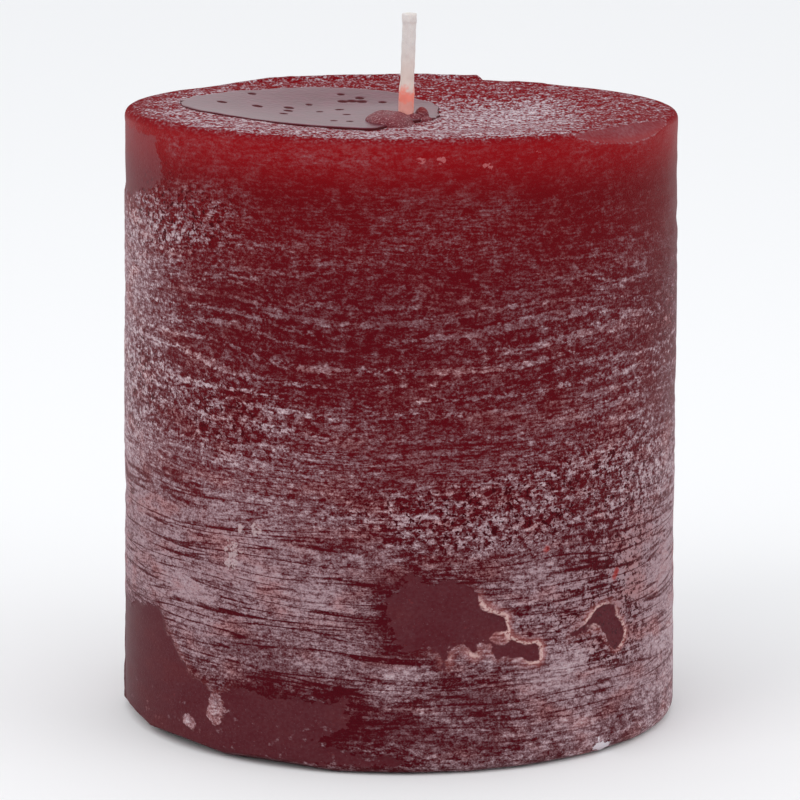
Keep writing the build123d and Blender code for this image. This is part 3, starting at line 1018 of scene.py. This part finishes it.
def coat_share(n, skin):
    """How pale the skin looks, 0 for clear wax and 1 for a full pale skin; in bare places it holds painted
    sheen, and along the break's edges a painted highlight.
    """
    frost = n.stored("frost")
    contrast = n.times(
        n.ramp(frost, 0.1, 0.5, 0.65, 1.1),
        n.ramp(skin.pitted, 0.2, 0.9, 1.0, 1.2),
        n.total(n.ramp(skin.height, 66, 74, 1.0, 0.6), n.times(skin.topside, 0.4)),
    )
    on_wall = n.times(n.inverse(skin.topside), wall_detail(n, skin))
    on_top = n.times(skin.topside, n.weighted(TOP_WEIGHTS, skin))
    detail = n.times(contrast, n.total(on_wall, on_top))
    untorn = n.inverse(n.ramp(skin.torn, 0.1, 0.4))
    near_bare = n.times(n.ramp(skin.bare_gap, 3.0, 0.0), untorn, NEAR_BARE_FROST)
    frosted = n.total(frost, near_bare, detail)
    flakes = n.times(n.ramp(skin.blobs, 0.8, 1.3), n.ramp(skin.height, 9, 5), n.ramp(skin.fine, -1.0, 0.6))
    # In bare places a frost share of 0.27 to 0.36, larger towards the top, is painted sheen: a grey haze
    # that stands for the reflection on the smooth bare wax. Pale specks and flakes near the foot are added
    # to it.
    bare_sheen_and_flakes = n.total(
        n.ramp(skin.height, 62, 70, 0.27, 0.36),
        n.weighted(BARE_SHEEN_WEIGHTS, skin),
        n.times(n.ramp(skin.grain, 1.2, 2.0), 0.25),
        n.times(flakes, 0.36),
    )
    broken = n.total(BROKEN_FROST, n.weighted(BROKEN_WEIGHTS, skin))
    share = n.total(n.times(n.inverse(skin.bare), frosted), n.times(skin.bare, bare_sheen_and_flakes))
    share = n.total(n.times(n.inverse(skin.facet), share), n.times(skin.facet, broken))
    # The break's edges are made paler: painted highlight
    return n.total(share, n.times(skin.chipped, n.ramp(skin.fine, -0.6, 0.8), BREAK_EDGE_HIGHLIGHT))


def clear_wax(n, skin):
    """Colour of the wax under the frost, by height, and in bare places, on top and in pits; near the rim it
    is brightened by painted glow.
    """
    wax = n.mix(n.ramp(skin.height, 20, 40), WAX_LOWER, WAX_MIDDLE)
    # Painted glow: the wax turns brighter red towards the rim, standing for light that enters through the
    # top and scatters out of the wall.
    wax = n.mix(n.ramp(skin.height, 56, 70), wax, WAX_UPPER)
    wax = n.mix(n.ramp(skin.height, 69, 77), wax, WAX_RIM_GLOW)
    wax = n.mix(n.times(skin.bare, n.ramp(skin.height, 62, 70, 0.6, 0.2)), wax, WAX_BARE)
    wax = n.mix(n.times(skin.topside, 0.7), wax, WAX_TOP)
    # Painted shade: pits are darker than the wax round them
    return n.mix(n.times(skin.pits, 0.7), wax, WAX_PIT_SHADE)


def with_painted_highlights(n, base, share, skin):
    """Painted highlights: the palest frost colour where the skin is palest and neither lined nor pitted."""
    by_lined = n.ramp(skin.lined, 0.2, 0.9, 0.0, 0.65)
    smoothness = n.total(by_lined, n.ramp(skin.pitted, 0.2, 0.9, 0.0, 0.35))
    rough = n.ramp(smoothness, 0, 1, 1, 0, smooth=False)
    return n.mix(n.times(n.ramp(share, 0.95, 1.7, smooth=False), rough), base, FROST_HIGHLIGHT)


def with_torn_edges(n, base, skin):
    """The warm, pale skin that is torn round a bare place."""
    covered = n.inverse(skin.bare)
    warm = n.times(skin.torn, n.ramp(skin.bare_gap, 1.5, 0.2), covered, 0.6)
    edge = n.times(n.ramp(skin.bare_gap, 0.55, 0.3), covered, n.ramp(skin.fine, -0.9, 0.1))
    base = n.mix(warm, base, TORN_WARM)
    return n.mix(n.times(edge, n.ramp(skin.torn, 0.5, 0.8), 0.85), base, TORN_PALE)


def with_spots_and_crumbs(n, base, skin):
    """Spots of red wax and the pale crumbs, which are redder close under the rim."""
    spot = n.total(n.stored("red_spot"), n.times(skin.ragged, 0.2), n.times(skin.fine, 0.1))
    base = n.mix(n.times(n.ramp(spot, 0.25, 0.85), 0.7), base, RED_WAX)
    crumb_colour = n.mix(n.ramp(skin.height, 4, 12), CRUMB_FOOT, CRUMB_WALL)
    crumb_colour = n.mix(n.ramp(skin.height, 40, 60), crumb_colour, CRUMB_RIM)
    return n.mix(n.times(n.ramp(skin.crumb, 0, 1), 0.8), base, crumb_colour)


def coat_material():
    n = Nodes("coat_wax")
    skin = coat_noises(n)
    add_coat_marks(n, skin)
    share = coat_share(n, skin)
    cover = n.maths("POWER", n.ramp(share, 0, 1, smooth=False), EYE_POWER)

    frosting = n.mix(n.ramp(skin.mottle, -0.3, 1.6), FROST, FROST_WARM)
    frosting = n.mix(skin.topside, frosting, FROST_TOP)
    base = n.mix(cover, clear_wax(n, skin), frosting)
    base = with_painted_highlights(n, base, share, skin)
    base = with_torn_edges(n, base, skin)
    base = with_spots_and_crumbs(n, base, skin)
    wall_roughness = n.times(n.inverse(skin.topside), n.ramp(cover, 0, 0.5, 0.38, 0.6))
    n.set(base=base, roughness=n.total(wall_roughness, n.times(skin.topside, 0.9)), **COAT_LIGHT)
    n.bump(n.total(n.times(share, 0.8), n.times(skin.grain, 0.1)), 0.07, 0.7)
    return n.material


def smooth_wax_material():
    n = Nodes("smooth_wax")
    mottle = n.noise(2.6, detail=3)
    base = n.mix(n.ramp(mottle, -1.5, 2.0), *POOL_SHADES)
    # Pits and the band along the pool's edge are darker: painted shade in the pits and along the step.
    pits_and_step = n.ramp(n.stored("pit_gap"), 0.05, -0.05)
    n.set(base=n.mix(pits_and_step, base, POOL_PAINTED_SHADE), roughness=n.ramp(pits_and_step, 0, 1, 0.28, 0.7))
    n.set(specular=0.17, radius=POOL_SCATTER, **WAX_LIGHT)
    n.bump(n.noise(0.8, detail=2, offset=4.0), 0.012, 0.5)
    return n.material


def seal_material():
    n = Nodes("seal_wax")
    speckle = n.noise(0.2, stretch=1.3, detail=2)
    base = n.mix(n.ramp(speckle, 0.0, 1.6), *SEAL_SHADES)
    bead = n.ramp(n.stored("bead"), 0.05, -0.15)
    base = n.mix(n.times(bead, 0.7), base, SEAL_BEAD)
    n.set(base=base, roughness=n.ramp(speckle, -1.0, 1.0, 0.4, 0.6))
    n.set(specular=0.14, radius=SEAL_SCATTER, **WAX_LIGHT)
    n.bump(speckle, 0.05, 0.6)
    return n.material


def column_material():
    n = Nodes("column_wax")
    mottle = n.noise(3.0, stretch=1.5, detail=3)
    fine = n.noise(0.4, detail=2, offset=2.0)
    n.set(base=n.shades(mottle, *COLUMN_SHADES), roughness=n.spread(fine, 0.35, 0.55))
    n.set(specular=0.2, **WAX_LIGHT)
    n.bump(n.total(n.times(mottle, 0.6), n.times(fine, 0.3)), 0.08, 0.6)
    return n.material


def base_seal_material():
    n = Nodes("base_seal_wax")
    mottle = n.noise(1.6, detail=3)
    n.set(base=n.shades(mottle, *BASE_SEAL_SHADES), roughness=n.spread(mottle, 0.25, 0.4))
    n.set(specular=0.3, **WAX_LIGHT)
    n.bump(mottle, 0.04, 0.5)
    return n.material


def wick_material():
    """Cotton that is warmer low down, stained by the wax and pale again at its very foot."""
    n = Nodes("wick_cotton")
    height = n.height_mm()
    fibre = n.noise(0.16, stretch=0.4, detail=2)
    soak = n.noise(0.9, detail=2, offset=3.0)
    cotton = n.shades(fibre, *COTTON_SHADES)
    cotton = n.mix(n.ramp(height, TOP_AT_WICK + 10.0, TOP_AT_WICK + 4.5), cotton, COTTON_WARM)
    low = n.ramp(n.total(height, n.times(soak, -0.6)), TOP_AT_WICK + 4.6, TOP_AT_WICK + 2.8)
    cotton = n.mix(n.times(low, 0.85), cotton, COTTON_STAIN)
    pale = n.ramp(n.total(height, n.times(soak, 0.5)), TOP_AT_WICK + 2.8, TOP_AT_WICK + 1.6)
    cotton = n.mix(n.times(pale, 0.75), cotton, COTTON_FOOT)
    n.set(base=cotton, roughness=n.spread(fibre, 0.4, 0.55), **COTTON_LIGHT)
    n.bump(n.total(fibre, soak), 0.02, 0.5)
    return n.material


def thread_material():
    n = Nodes("thread_cotton")
    fibre = n.noise(0.1, stretch=0.3, detail=2)
    n.set(base=n.shades(fibre, *THREAD_SHADES), roughness=0.7)
    n.bump(fibre, 0.02, 0.6)
    return n.material


def foot_material():
    n = Nodes("tinplate")
    brushed = n.noise(0.25, stretch=5.0, detail=3)
    dull = n.noise(2.2, detail=3, offset=6.0)
    n.set(base=n.shades(dull, *TIN_SHADES), roughness=n.spread(brushed, 0.25, 0.42), metallic=1.0)
    n.bump(brushed, 0.01, 0.5)
    return n.material


def dress(piece, material):
    piece.data.materials.clear()
    piece.data.materials.append(material)


# ----------------------------------------
# The pieces


def place_piece(piece, material, node):
    """Gives a piece its material, hides the CAD node it stands for and attaches the piece to the root body.
    """
    dress(piece, material)
    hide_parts(node)
    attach(piece, "root")


place_piece(make_coat(), coat_material(), "wax_coat")
place_piece(make_pool(), smooth_wax_material(), "top_pool")
place_piece(make_seal(), seal_material(), "wick_seal")
place_piece(make_wick(), wick_material(), "wick_braid")
for node, material in (
    ("wax_column", column_material()),
    ("base_seal", base_seal_material()),
    ("wick_core_thread", thread_material()),
    ("wick_foot", foot_material()),
):
    dress(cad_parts[node], material)

# ----------------------------------------
# Floor, light and camera, in metres

FLOOR_SIZE = 8.0
SKY = (0.96, 0.975, 1.0, 1.0)
LIGHT_TARGET = (0, 0, 0.04)
LIGHT_SIZE = (0.5, 0.5)
# Lights: name, place, power in watts
LIGHTS = [
    ("key", (-0.5, -0.45, 0.6), 1.6),
    ("fill", (0.6, -0.3, 0.35), 0.8),
]
CAMERA_DISTANCE = 0.500
CAMERA_HEIGHT = 0.1342
CAMERA_PITCH = math.radians(10.69)
CAMERA_ROLL = math.radians(0.33)
CAMERA_LENS = 178.5
CAMERA_SENSOR = 36.0


def make_floor():
    bpy.ops.mesh.primitive_plane_add(size=FLOOR_SIZE, location=(0, 0, 0))
    floor = bpy.context.object
    floor.name = "floor"
    n = Nodes("pale_floor")
    n.set(base=FLOOR_WHITE, roughness=0.9, specular=0.1)
    dress(floor, n.material)


def make_world():
    world = bpy.data.worlds.new("studio")
    world.use_nodes = True
    background = world.node_tree.nodes["Background"]
    background.inputs["Color"].default_value = SKY
    background.inputs["Strength"].default_value = 1.0
    bpy.context.scene.world = world


def make_light(name, place, power):
    light = bpy.data.lights.new(name, "AREA")
    light.shape = "RECTANGLE"
    light.size, light.size_y = LIGHT_SIZE
    light.energy = power
    lamp = bpy.data.objects.new(name, light)
    lamp.location = place
    lamp.rotation_euler = (Vector(LIGHT_TARGET) - Vector(place)).to_track_quat("-Z", "Y").to_euler()
    bpy.context.scene.collection.objects.link(lamp)


def make_camera():
    data = bpy.data.cameras.new("camera")
    data.lens = CAMERA_LENS
    data.sensor_width = CAMERA_SENSOR
    data.clip_start, data.clip_end = 0.01, 20.0
    camera = bpy.data.objects.new("camera", data)
    turn = Matrix.Rotation(math.pi / 2 - CAMERA_PITCH, 4, "X") @ Matrix.Rotation(CAMERA_ROLL, 4, "Z")
    camera.matrix_world = Matrix.Translation((0, -CAMERA_DISTANCE, CAMERA_HEIGHT)) @ turn
    bpy.context.scene.collection.objects.link(camera)
    bpy.context.scene.camera = camera


make_floor()
make_world()
for name, place, power in LIGHTS:
    make_light(name, place, power)
make_camera()
bpy.context.scene.view_settings.view_transform = "Standard"
